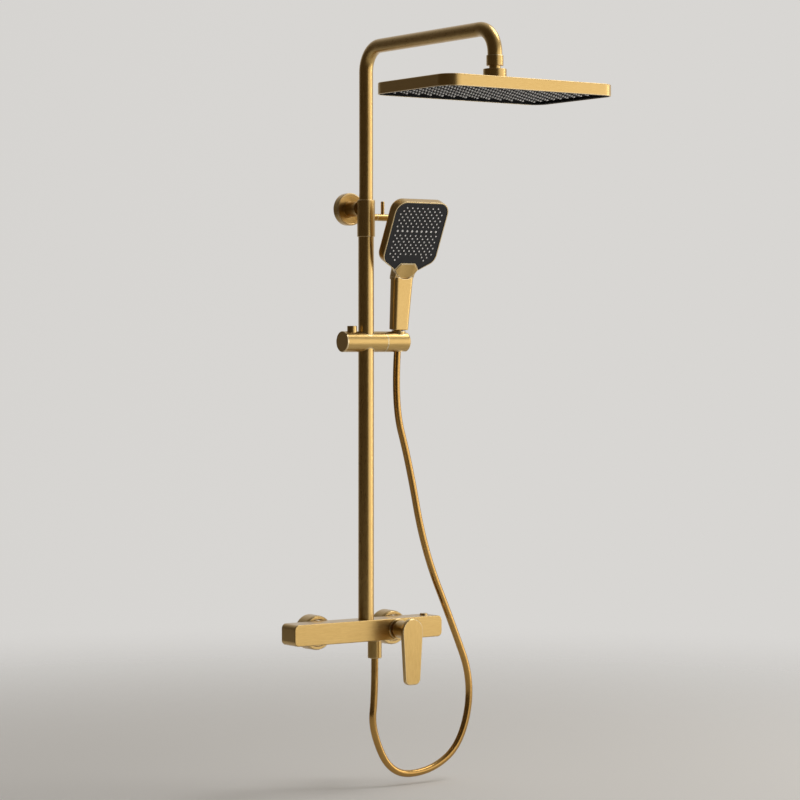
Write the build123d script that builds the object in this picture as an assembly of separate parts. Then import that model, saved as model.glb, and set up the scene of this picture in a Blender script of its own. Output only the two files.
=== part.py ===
from build123d import *
import math
import os

# Rainfall shower column on a wall. Millimetres, +Z up, +Y into the wall, wall plane at Y = 0.
# The origin lies midway between the two water inlets, in the wall plane.

# Clearances used by every fit
RUN = 0.05
FREE = 0.3
SNUG = 0.02

# Inlets in the wall
INLET_PITCH = 150.0
TAIL_R = 10.4775
TAIL_LENGTH = 22.0
FLANGE_R = 28.0
FLANGE_DEPTH = 27.5
FLANGE_WALL = 1.6
FLANGE_OPENING_R = 17.4
ECCENTRIC = 3.0

# Waterways drilled round the solid core of each tail
WATERWAY_R = 1.9
WATERWAY_RING = 4.6

# Mixer bar
BAR_LENGTH = 292.0
BAR_X = -4.0
BAR_Z = ECCENTRIC
BAR_HEIGHT = 35.0
BAR_REAR = -34.0
BAR_DEPTH = 40.0
BAR_FRONT = BAR_REAR - BAR_DEPTH
BAR_CORNER = 8.0
BAR_EDGE = 1.4
BAR_WALL = 1.6
BAR_TOP = BAR_Z + BAR_HEIGHT / 2
BAR_BOTTOM = BAR_Z - BAR_HEIGHT / 2
GALLERY_Y = -52.0
GALLERY_R = 10.0
GALLERY_BORE = 6.0

# Lever and cartridge
LEVER_X = 51.5
PIVOT_DEPTH = 5.0
PIVOT_Y = BAR_FRONT + PIVOT_DEPTH
CARTRIDGE_R = 11.5
BASE_RING_R = 17.2
BASE_RING_T = 2.5
BARREL_R = 14.5
PADDLE_REACH = 45.0
PADDLE_T = 6.5
PADDLE_TOP_R = 20.3
PADDLE_FOOT_WIDTH = 29.5
PADDLE_DROP = 88.5
PADDLE_FOOT_R = 10.0
STEM_R = 4.0

# Diverter
DIVERTER_INSET = 22.0
DIVERTER_X = BAR_X + BAR_LENGTH / 2 - DIVERTER_INSET
DIVERTER_R = 6.5
DIVERTER_PROUD = 3.0

# Hose and its lower end
OUTLET_X = 20.0
OUTLET_Y = -53.0
HOSE_R = 6.0
HOSE_BORE = 4.0
HOSE_NUT_R = 11.7
HOSE_NUT_LENGTH = 29.7

# Riser, collar and wall bracket
RISER_Y = -57.0
LOWER_R = 13.0
LOWER_WALL = 1.4
UPPER_R = 11.5
UPPER_WALL = 1.2
LOWER_TOP = 676.0
COLLAR_R = 14.75
COLLAR_LOW = 652.0
COLLAR_TOP = 713.0
BUSH_R = 13.2
BUSH_LOW = 694.0
BUSH_TOP = 709.0
BRACKET_Z = 699.5
BRACKET_FLANGE_R = 27.0
BRACKET_FLANGE_T = 12.0
BRACKET_SLEEVE_R = 12.3
BRACKET_STEM_R = 8.0
BRACKET_SCREW_PITCH = 30.0
BRACKET_SCREW_R = 2.25
CLAMP_Z = 684.7
CLAMP_ROD_R = 5.8
CLAMP_END_X = 44.0
CLAMP_PIN_X = 33.0
CLAMP_PIN_R = 3.0
CLAMP_PIN_RISE = 21.0

# Telescopic upper tube with its arm
UPPER_FOOT = 432.0
ARM_Z = 964.0
ARM_BEND_R = 40.0
HEAD_Y = -411.5
DROP_END = 914.0

# Ball joint and rain head
HEAD_LENGTH = 324.0
HEAD_WIDTH = 200.0
HEAD_LOW = 858.0
HEAD_T = 18.2
HEAD_CORNER = 25.0
HEAD_WALL = 2.0
HEAD_TOP = HEAD_LOW + HEAD_T
BALL_R = 11.5
BALL_Z = 889.0
BALL_NECK_R = 9.0
SEAT_T = 1.45
FLANGE_NUT_R = 18.25
FLANGE_NUT_TOP = 899.0
ARM_NUT_R = 13.25
ARM_NUT_LOW = 904.0
ARM_NUT_TOP = 920.0
PLATE_BORDER = 8.0
PLATE_T = 2.6
FIELD_RISE = 3.8
NOZZLE_R = 1.6
RIM_NOZZLE_R = 2.0
NOZZLE_PROUD = 2.2
NOZZLE_FIELD_X = HEAD_LENGTH / 2 - 27.0
NOZZLE_FIELD_Y = HEAD_WIDTH / 2 - 23.5
NOZZLE_PITCH = 22.5
NOZZLE_ROW = 8.5
NOZZLE_ROWS = int(2 * NOZZLE_FIELD_Y / NOZZLE_ROW) + 1
NOZZLE_COLUMNS = int(2 * NOZZLE_FIELD_X / NOZZLE_PITCH) + 1
MAT_MARGIN_X = 14.5
MAT_MARGIN_Y = 10.0

# Slider and hand-shower holder
SLIDER_Z = 479.0
SLIDER_R = 17.2
SLIDER_LEFT = -48.0
SLIDER_CAP_T = 2.2
SLIDER_SEAM = 34.0
HOLDER_END = 80.0
LINER_R = 14.5
LINER_HALF = 8.0
SLIDER_BUTTON_X = -28.0
SLIDER_BUTTON_R = 8.0
SLIDER_BUTTON_TOP = 505.0
SOCKET_X = 64.0
SOCKET_TILT = 6.0
PIVOT_BOLT_R = 5.0
CONE_TOP = 18.5
CONE_LOW = -15.5
CONE_TOP_R = 12.0
CONE_LOW_R = 10.0

# Hand shower, measured along its handle from the socket's centre
HANDLE_LOW = 20.0
HANDLE_TOP = 108.0
HANDLE_LOW_WIDTH = 31.0
HANDLE_TOP_WIDTH = 38.0
HANDLE_DEPTH = 20.0
HEAD_BEND = 19.5
BEND_S = 106.0
FACE_SET = 7.0
FACE_WIDTH = 107.0
FACE_HEIGHT = 137.0
FACE_CORNER = 20.0
SHOULDER_V = 32.0
THROAT_V = 12.8
SHELL_T = 22.0
BACK_ROUND = 9.0
FACE_RIM = 1.8
FACE_SINK = 0.6
FACE_PLATE_T = 2.4
SPRAY_PITCH = 10.3
SPRAY_MARGINS = 60.0
SPRAY_ROW = (FACE_HEIGHT - SPRAY_MARGINS) / 14
SPRAY_R = 1.4
SPRAY_MAT_LOW = 27.0
WINDOW_LOW = 5.0
NECK_TOP = 122.0
BUTTON_GAP = 0.35
THUMB_R = 90.0
THUMB_HOLLOW = 1.0

CENTRED = (Align.CENTER, Align.CENTER, Align.MIN)

os.makedirs("parts", exist_ok=True)


def save(name, shape):
    """Write one node's solids to its own file."""
    export_step(shape, f"parts/{name}.step")


def rod(start, direction, radius, length):
    """A cylinder from a start point along a direction."""
    return Plane(origin=start, z_dir=direction) * Cylinder(radius, length, align=CENTRED)


def pin_x(x0, x1, y, z, radius):
    """A cylinder along X between two X values."""
    return rod((x0, y, z), (1, 0, 0), radius, x1 - x0)


def pin_y(y0, y1, x, z, radius):
    """A cylinder along Y between two Y values."""
    return rod((x, y0, z), (0, 1, 0), radius, y1 - y0)


def pin_z(z0, z1, x, y, radius):
    """A cylinder along Z between two Z values."""
    return rod((x, y, z0), (0, 0, 1), radius, z1 - z0)


def turned(profile, start, direction):
    """A lathe-turned solid from (radius, distance) pairs along an axis."""
    points = [(r, 0, s) for r, s in profile]
    outline = make_face(Polyline(*points, close=True))
    return Plane(origin=start, z_dir=direction) * revolve(outline, Axis.Z)


def block(x0, x1, y0, y1, z0, z1):
    """A box between two corners."""
    size = Box(x1 - x0, y1 - y0, z1 - z0)
    return Pos((x0 + x1) / 2, (y0 + y1) / 2, (z0 + z1) / 2) * size


def front_plane(x, y, z):
    """A plane whose X is the row's X, whose Y is the row's Z, facing away from the wall."""
    return Plane(origin=(x, y, z), x_dir=(1, 0, 0), z_dir=(0, -1, 0))


def coil(radius, wire, height, turns, x, y, z):
    """A compression spring standing on Z with its wire inside the stated height."""
    path = Helix((height - 2 * wire) / turns, height - 2 * wire, radius)
    start = Plane(origin=path @ 0, z_dir=path % 0)
    wound = sweep(start * Circle(wire), path=path, is_frenet=True)
    return Pos(x, y, z + wire) * wound


def inlet_pieces():
    """Unions, nuts, spigots, washers, valves and wall flanges at both inlets."""
    unions, nuts, spigots, washers, valves = [], [], [], [], []
    for side in (-1, 1):
        x = side * INLET_PITCH / 2
        union = pin_y(0, TAIL_LENGTH, x, 0, TAIL_R)
        union += pin_y(-10, 0, x, ECCENTRIC / 2, 14)
        union += pin_y(-22, -10, x, ECCENTRIC, 13.2)
        for turn in range(0, 360, 60):
            px = x + WATERWAY_RING * math.cos(math.radians(turn))
            pz = WATERWAY_RING * math.sin(math.radians(turn))
            union -= pin_y(-6, TAIL_LENGTH + 1, px, pz, WATERWAY_R)
        union -= pin_y(-23, -4, x, ECCENTRIC, 7.5)
        unions.append(union)
        washers.append(pin_y(-24, -22, x, ECCENTRIC, 12.5) - pin_y(-25, -21, x, ECCENTRIC, 8))
        spigot = pin_y(-26.5, -24, x, ECCENTRIC, 12.5) + pin_y(-40, -26.5, x, ECCENTRIC, 9.5)
        spigots.append(spigot - pin_y(-41, -23, x, ECCENTRIC, 6))
        valve = pin_y(-38, -27, x, ECCENTRIC, 6 - RUN) - pin_y(-39, -30, x, ECCENTRIC, 4)
        valves.append(valve - pin_y(-31, -26, x, ECCENTRIC, 2))
        hexagon = Plane(origin=(x, -12, ECCENTRIC), z_dir=(0, -1, 0)) * RegularPolygon(16.8, 6)
        nut = extrude(hexagon, 18.5)
        nut -= pin_y(-26.5 - RUN, -11, x, ECCENTRIC, 13.2 + RUN)
        nuts.append(nut - pin_y(-31, -26, x, ECCENTRIC, 9.5 + FREE))
        cup = turned(
            [
                (FLANGE_R + 0.8, 0),
                (FLANGE_R + 0.4, FLANGE_DEPTH - 4),
                (FLANGE_R - 0.4, FLANGE_DEPTH - 1),
                (FLANGE_R - 1.6, FLANGE_DEPTH),
                (FLANGE_R - 5, FLANGE_DEPTH),
                (FLANGE_R - 6, FLANGE_DEPTH - 1.2),
                (FLANGE_R - 15, FLANGE_DEPTH - 1.2),
                (FLANGE_R - 15, FLANGE_DEPTH - 1.2 - FLANGE_WALL),
                (FLANGE_R - 1.6, FLANGE_DEPTH - 1.2 - FLANGE_WALL - 1.6),
                (FLANGE_R - 1.2, 0),
            ],
            (x, 0, 0),
            (0, -1, 0),
        )
        cup -= pin_y(-FLANGE_DEPTH - 1, 1, x, ECCENTRIC, FLANGE_OPENING_R)
        save("wall_flange_left" if side < 0 else "wall_flange_right", cup)
    save("inlet_unions", Compound(unions))
    save("union_nuts", Compound(nuts))
    save("inlet_spigots", Compound(spigots))
    save("inlet_washers", Compound(washers))
    save("check_valves", Compound(valves))


def mixer_pieces():
    """Casing, rear cover and the brass manifold inside the bar."""
    outer = front_plane(BAR_X, BAR_REAR, BAR_Z) * RectangleRounded(BAR_LENGTH, BAR_HEIGHT, BAR_CORNER)
    casing = extrude(outer, BAR_DEPTH)
    casing = fillet(casing.faces().sort_by(Axis.Y)[0].edges(), BAR_EDGE)
    inner = front_plane(BAR_X, BAR_REAR + 1, BAR_Z) * RectangleRounded(
        BAR_LENGTH - 2 * BAR_WALL, BAR_HEIGHT - 2 * BAR_WALL, BAR_CORNER - BAR_WALL
    )
    casing -= extrude(inner, BAR_DEPTH + 1 - BAR_WALL)
    boss_r = BAR_HEIGHT / 2 - BAR_WALL - 0.4
    casing -= pin_y(BAR_FRONT - 1, BAR_FRONT + 5, LEVER_X, BAR_Z, boss_r + RUN)
    casing -= pin_z(BAR_TOP - 5, BAR_TOP + 1, 0, RISER_Y, LOWER_R + FREE)
    casing -= pin_z(BAR_TOP - 5, BAR_TOP + 1, DIVERTER_X, GALLERY_Y, 8 + RUN)
    casing -= pin_z(BAR_BOTTOM - 1, BAR_BOTTOM + 5, OUTLET_X, OUTLET_Y, 8 + FREE)
    save("mixer_casing", casing)

    cover_w = BAR_LENGTH - 2 * BAR_WALL - 2 * RUN
    cover_h = BAR_HEIGHT - 2 * BAR_WALL - 2 * RUN
    plate = front_plane(BAR_X, BAR_REAR - 0.2, BAR_Z) * RectangleRounded(
        cover_w, cover_h, BAR_CORNER - BAR_WALL - RUN
    )
    cover = extrude(plate, 1.8)
    for side in (-1, 1):
        cover -= pin_y(BAR_REAR - 5, BAR_REAR + 1, side * INLET_PITCH / 2, BAR_Z, 9.5 + FREE)
    save("mixer_rear_cover", cover)

    top_in = BAR_TOP - BAR_WALL - 0.1
    low_in = BAR_BOTTOM + BAR_WALL + 0.1
    body = pin_x(-90, DIVERTER_X + 8, GALLERY_Y, BAR_Z, GALLERY_R)
    for side in (-1, 1):
        body += pin_y(GALLERY_Y, BAR_REAR - 2.1, side * INLET_PITCH / 2, BAR_Z, 12.5)
    body += pin_y(BAR_FRONT, GALLERY_Y + 7, LEVER_X, BAR_Z, boss_r)
    body += pin_z(BAR_Z - 8, top_in, 0, RISER_Y, LOWER_R + 2)
    body += pin_z(low_in, BAR_Z, OUTLET_X, OUTLET_Y, 11)
    body += pin_z(BAR_Z - 9, top_in, DIVERTER_X, GALLERY_Y, 10.5)
    body -= pin_x(-80, DIVERTER_X, GALLERY_Y, BAR_Z, GALLERY_BORE)
    for side in (-1, 1):
        body -= pin_y(BAR_REAR - 10, BAR_REAR, side * INLET_PITCH / 2, BAR_Z, 9.5 + RUN)
        body -= pin_y(GALLERY_Y, BAR_REAR, side * INLET_PITCH / 2, BAR_Z, GALLERY_BORE - 0.8)
    body -= pin_y(BAR_FRONT - 1, PIVOT_Y + 24, LEVER_X, BAR_Z, CARTRIDGE_R + RUN)
    body -= pin_y(BAR_FRONT - 1, PIVOT_Y + 0.5, LEVER_X, BAR_Z, 13 + RUN)
    body -= pin_z(BAR_Z + 3, top_in + 1, 0, RISER_Y, LOWER_R + RUN)
    body -= pin_z(BAR_Z - 4, top_in + 1, 0, RISER_Y, 9)
    body -= pin_z(BAR_TOP - 8.4, BAR_TOP - 5.4, 0, RISER_Y, LOWER_R + 1.4)
    body -= pin_z(low_in - 1, BAR_Z - 5, OUTLET_X, OUTLET_Y, 8 + RUN)
    body -= pin_z(low_in - 1, BAR_Z, OUTLET_X, OUTLET_Y, 5)
    body -= pin_z(BAR_Z - 8, top_in + 1, DIVERTER_X, GALLERY_Y, 8 + RUN)
    save("mixer_manifold", body)

    ring = Pos(0, RISER_Y, BAR_TOP - 6.9) * Torus(LOWER_R + 0.7 + RUN, 0.65)
    save("riser_seal", ring)


def cartridge_pieces():
    """Ceramic-disc cartridge, its nut, the base ring and the lever."""
    x, z, y = LEVER_X, BAR_Z, PIVOT_Y
    floor = y + 24
    body = pin_y(y + 0.5, floor, x, z, CARTRIDGE_R) - pin_y(y, y + 18, x, z, 10)
    for turn in (90, 210, 330):
        px = x + 5.5 * math.cos(math.radians(turn))
        pz = z + 5.5 * math.sin(math.radians(turn))
        body -= pin_y(y + 17, floor + 1, px, pz, 2.4)
    save("cartridge_body", body)
    fixed = pin_y(y + 15, y + 18, x, z, 9.9)
    for turn in (90, 210, 330):
        px = x + 5.5 * math.cos(math.radians(turn))
        pz = z + 5.5 * math.sin(math.radians(turn))
        fixed -= pin_y(y + 14, y + 19, px, pz, 2.4)
    save("cartridge_fixed_disc", fixed)
    moving = pin_y(y + 12.02, y + 14.98, x, z, 8.6)
    save("cartridge_moving_disc", moving - pin_y(y + 13.2, y + 16, x, z, 3.4))
    nut = pin_y(BAR_FRONT, y + 0.45, x, z, 13)
    save("cartridge_nut", nut - pin_y(BAR_FRONT - 1, y + 2, x, z, 9.7 + FREE))
    front = PIVOT_DEPTH + BASE_RING_T
    ring = turned(
        [
            (9.7 + FREE, PIVOT_DEPTH),
            (BASE_RING_R, PIVOT_DEPTH),
            (BASE_RING_R, front - 0.6),
            (BASE_RING_R - 0.6, front),
            (9.7 + FREE, front),
        ],
        (x, y, z),
        (0, -1, 0),
    )
    save("lever_base_ring", ring)

    slot = STEM_R + 0.15
    turret = pin_y(y - 6, y + 12, x, z, 9.7)
    turret -= block(x - slot, x + slot, y - 8, y + 10, z - 12, z + 12)
    turret -= pin_x(x - 12, x + 12, y, z, 1.6 + RUN)
    save("cartridge_turret", turret)
    stem = pin_y(y - 26, y + 8, x, z, STEM_R) + pin_x(x - 8, x + 8, y, z, 1.6)
    save("lever_stem", stem)

    reach = math.hypot(BASE_RING_R, front) + 0.5
    barrel = pin_y(BAR_FRONT - PADDLE_REACH + PADDLE_T - 1, y, x, z, BARREL_R)
    barrel -= Pos(x, y, z) * Sphere(reach)
    barrel -= pin_y(y - 30, y, x, z, 11.5) - pin_y(y - 31, y, x, z, 7.5)
    outline = front_plane(x, BAR_FRONT - PADDLE_REACH + PADDLE_T, z)
    foot = -PADDLE_DROP
    half = PADDLE_FOOT_WIDTH / 2
    lean = (PADDLE_TOP_R - half) / -foot
    tangent = math.atan(lean)
    tx = PADDLE_TOP_R * math.cos(tangent)
    tz = -PADDLE_TOP_R * math.sin(tangent)
    blade = make_face(
        [
            ThreePointArc((-tx, tz), (0, PADDLE_TOP_R), (tx, tz)),
            Line((tx, tz), (half, foot)),
            Line((half, foot), (-half, foot)),
            Line((-half, foot), (-tx, tz)),
        ]
    )
    blade = fillet(blade.vertices().group_by(Axis.Y)[0], PADDLE_FOOT_R)
    paddle = extrude(outline * blade, PADDLE_T)
    paddle = chamfer(paddle.faces().sort_by(Axis.Y)[0].edges(), 1.3)
    lever = barrel + paddle
    lever -= pin_y(y - 26.1, y, x, z, STEM_R + SNUG)
    lever -= pin_z(z - BARREL_R - 1, z, x, y - 22, 2)
    save("lever", lever)
    screw = pin_z(z - BARREL_R + 1.5, z - STEM_R - SNUG, x, y - 22, 2 - SNUG)
    screw -= pin_z(z - BARREL_R, z - BARREL_R + 4.5, x, y - 22, 0.9)
    save("lever_screw", screw)


def diverter_pieces():
    """Push button on the bar's top with its bush and spring."""
    x, y, top = DIVERTER_X, GALLERY_Y, BAR_TOP
    bush = pin_z(top - 14.5, top + 0.5, x, y, 8)
    bush -= pin_z(top - 8.5, top + 1, x, y, DIVERTER_R + 0.1)
    bush -= pin_z(top - 15, top, x, y, 3 + RUN)
    save("diverter_bush", bush)
    button = pin_z(top - 5.2, top + DIVERTER_PROUD, x, y, DIVERTER_R)
    button = fillet(button.edges().group_by(Axis.Z)[-1], 0.8)
    button -= pin_z(top - 6, top - 0.5, x, y, 5.2)
    button += pin_z(top - 20.5, top, x, y, 3)
    button += pin_z(top - 20.5, top - 17.5, x, y, 5)
    save("diverter_button", button)
    save("diverter_spring", coil(4.2, 0.4, 8, 5, x, y, top - 8.5))


def hose_point(distance):
    """A point on the socket's tilted axis, above (+) or below (-) its centre."""
    lean = math.radians(SOCKET_TILT)
    return (
        SOCKET_X,
        RISER_Y - distance * math.sin(lean),
        SLIDER_Z + distance * math.cos(lean),
    )


def outlet_pieces():
    """Outlet nipple, washer, hose nut and the hose."""
    x, y, low = OUTLET_X, OUTLET_Y, BAR_BOTTOM
    nipple = pin_z(low - 0.5, BAR_Z - 5.1, x, y, 8) + pin_z(low - 11.5, low - 0.5, x, y, TAIL_R)
    save("hose_outlet", nipple - pin_z(low - 12, BAR_Z, x, y, 5))
    washer = pin_z(low - 13.5, low - 11.5, x, y, TAIL_R - 0.2) - pin_z(low - 14, low - 11, x, y, 5)
    save("hose_lower_washer", washer)
    end = low - 0.8 - HOSE_NUT_LENGTH
    nut = turned(
        [
            (HOSE_BORE, 0),
            (HOSE_NUT_R - 1.0, 0),
            (HOSE_NUT_R, 1.0),
            (HOSE_NUT_R, HOSE_NUT_LENGTH - 0.6),
            (HOSE_NUT_R - 0.6, HOSE_NUT_LENGTH),
            (TAIL_R + RUN, HOSE_NUT_LENGTH),
            (TAIL_R + RUN, HOSE_NUT_LENGTH - 12.7),
            (HOSE_BORE, HOSE_NUT_LENGTH - 12.7),
        ],
        (x, y, end),
        (0, 0, 1),
    )
    save("hose_lower_nut", nut)
    route = [
        hose_point(CONE_LOW),
        hose_point(CONE_LOW - 90),
        (94, -45, 280),
        (124, -47, 130),
        (181, -50, 1),
        (221, -53, -99),
        (198, -53, -201),
        (135, -53, -243),
        (53, -53, -243),
        (13, -53, -163),
        (x, y, end - 62),
        (x, y, end),
    ]
    runs = [math.dist(a, b) for a, b in zip(route, route[1:])]
    radii = []
    for i in range(1, len(route) - 1):
        one = Vector(*route[i]) - Vector(*route[i - 1])
        two = Vector(*route[i + 1]) - Vector(*route[i])
        half = math.radians(one.get_angle(two)) / 2
        radii.append(0.45 * min(runs[i - 1], runs[i]) / math.tan(half))
    line = FilletPolyline(*route, radius=radii)
    ring = Plane(origin=route[0], z_dir=line % 0) * (Circle(HOSE_R) - Circle(HOSE_BORE))
    hose = sweep(ring, path=line)
    section = math.pi * (HOSE_R**2 - HOSE_BORE**2)
    print("hose runs", [round(r, 1) for r in runs])
    print("hose radii", [round(r, 1) for r in radii])
    print("hose length", round(line.length, 1), "volume ratio", round(hose.volume / section / line.length, 5))
    save("hose", hose)


def riser_pieces():
    """Lower tube, collar, bracket, clamp and the telescopic tube's guides."""
    y = RISER_Y
    lower_in = LOWER_R - LOWER_WALL
    tube = pin_z(BAR_Z + 3.2, LOWER_TOP, 0, y, LOWER_R) - pin_z(0, LOWER_TOP + 1, 0, y, lower_in)
    save("lower_riser", tube)

    collar = turned(
        [
            (0, COLLAR_LOW),
            (COLLAR_R - 0.5, COLLAR_LOW),
            (COLLAR_R, COLLAR_LOW + 0.5),
            (COLLAR_R, COLLAR_TOP - 0.8),
            (COLLAR_R - 0.8, COLLAR_TOP),
            (0, COLLAR_TOP),
        ],
        (0, y, 0),
        (0, 0, 1),
    )
    collar += pin_y(y, -22, 0, BRACKET_Z, BRACKET_STEM_R)
    collar += pin_x(0, 20, y, CLAMP_Z, CLAMP_ROD_R)
    collar -= pin_z(COLLAR_LOW - 1, COLLAR_TOP + 1, 0, y, UPPER_R + FREE)
    collar -= pin_z(COLLAR_LOW - 1, LOWER_TOP, 0, y, LOWER_R + SNUG)
    collar -= pin_z(BUSH_LOW, BUSH_TOP, 0, y, BUSH_R)
    collar -= pin_x(5, 21, y, CLAMP_Z, 4 + RUN)
    save("riser_collar", collar)
    bush = pin_z(BUSH_LOW + RUN, BUSH_TOP - RUN, 0, y, BUSH_R - SNUG)
    save("guide_bush", bush - pin_z(BUSH_LOW - 1, BUSH_TOP + 1, 0, y, UPPER_R + RUN))

    screw = pin_x(UPPER_R + 0.7, 20.4, y, CLAMP_Z, 4)
    head = pin_x(20.3, CLAMP_END_X, y, CLAMP_Z, CLAMP_ROD_R)
    screw += fillet(head.edges().group_by(Axis.X)[-1], 1.2)
    screw -= pin_z(CLAMP_Z - 2, CLAMP_Z + 10, CLAMP_PIN_X, y, CLAMP_PIN_R)
    save("clamp_screw", screw)
    top = CLAMP_Z + CLAMP_ROD_R + CLAMP_PIN_RISE
    pin = pin_z(CLAMP_Z - 2, top, CLAMP_PIN_X, y, CLAMP_PIN_R)
    save("clamp_pin", fillet(pin.edges().group_by(Axis.Z)[-1], 1.2))

    sleeve = pin_y(-39, -9, 0, BRACKET_Z, BRACKET_SLEEVE_R)
    sleeve = fillet(sleeve.edges().group_by(Axis.Y)[0], 0.8)
    sleeve -= pin_y(-40, -8, 0, BRACKET_Z, BRACKET_STEM_R + RUN)
    screws = []
    for along in (-15, -31):
        sleeve -= pin_z(BRACKET_Z - 14, BRACKET_Z - 7, 0, along, 2)
        grub = pin_z(BRACKET_Z - 12, BRACKET_Z - BRACKET_STEM_R - SNUG, 0, along, 2 - SNUG)
        screws.append(grub - pin_z(BRACKET_Z - 13, BRACKET_Z - 10, 0, along, 0.9))
    save("bracket_sleeve", sleeve)
    save("bracket_grub_screws", Compound(screws))
    plate = pin_y(-5, 0, 0, BRACKET_Z, 22) + pin_y(-20, -5, 0, BRACKET_Z, BRACKET_STEM_R)
    for side in (-1, 1):
        plate -= pin_y(-6, 1, side * BRACKET_SCREW_PITCH / 2, BRACKET_Z, BRACKET_SCREW_R)
    save("bracket_plate", plate)
    depth = BRACKET_FLANGE_T
    flange = turned(
        [
            (BRACKET_FLANGE_R, 0),
            (BRACKET_FLANGE_R, depth - 1),
            (BRACKET_FLANGE_R - 0.8, depth),
            (BRACKET_FLANGE_R - 2.2, depth),
            (BRACKET_FLANGE_R - 3.2, depth - 1),
            (BRACKET_SLEEVE_R + RUN, depth - 2.4),
            (BRACKET_SLEEVE_R + RUN, depth - 4),
            (BRACKET_FLANGE_R - 3, depth - 2.8),
            (BRACKET_FLANGE_R - 1.6, depth - 4),
            (BRACKET_FLANGE_R - 1.6, 0),
        ],
        (0, 0, BRACKET_Z),
        (0, -1, 0),
    )
    save("bracket_flange", flange)

    upper_in = UPPER_R - UPPER_WALL
    piston = pin_z(UPPER_FOOT - 9, UPPER_FOOT, 0, y, lower_in - RUN)
    piston += pin_z(UPPER_FOOT, UPPER_FOOT + 14, 0, y, upper_in - RUN)
    save("telescope_piston", piston - pin_z(UPPER_FOOT - 10, UPPER_FOOT + 15, 0, y, 7))
    way = FilletPolyline(
        (0, y, UPPER_FOOT + 0.1),
        (0, y, ARM_Z),
        (0, HEAD_Y, ARM_Z),
        (0, HEAD_Y, DROP_END),
        radius=ARM_BEND_R,
    )
    ring = Plane(origin=way @ 0, z_dir=(0, 0, 1)) * (Circle(UPPER_R) - Circle(upper_in))
    save("upper_tube", sweep(ring, path=way))


def nozzle_points():
    """Centres on the rain head's underside in staggered rows: the inner ones, then those at the rim."""
    grid, rim = [], []
    for j in range(NOZZLE_ROWS):
        count = NOZZLE_COLUMNS - j % 2
        py = (j - (NOZZLE_ROWS - 1) / 2) * NOZZLE_ROW
        for i in range(count):
            ends = count == NOZZLE_COLUMNS and i in (0, count - 1)
            place = rim if ends or j in (0, NOZZLE_ROWS - 1) else grid
            place.append(((i - (count - 1) / 2) * NOZZLE_PITCH, py))
    return grid, rim


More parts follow.
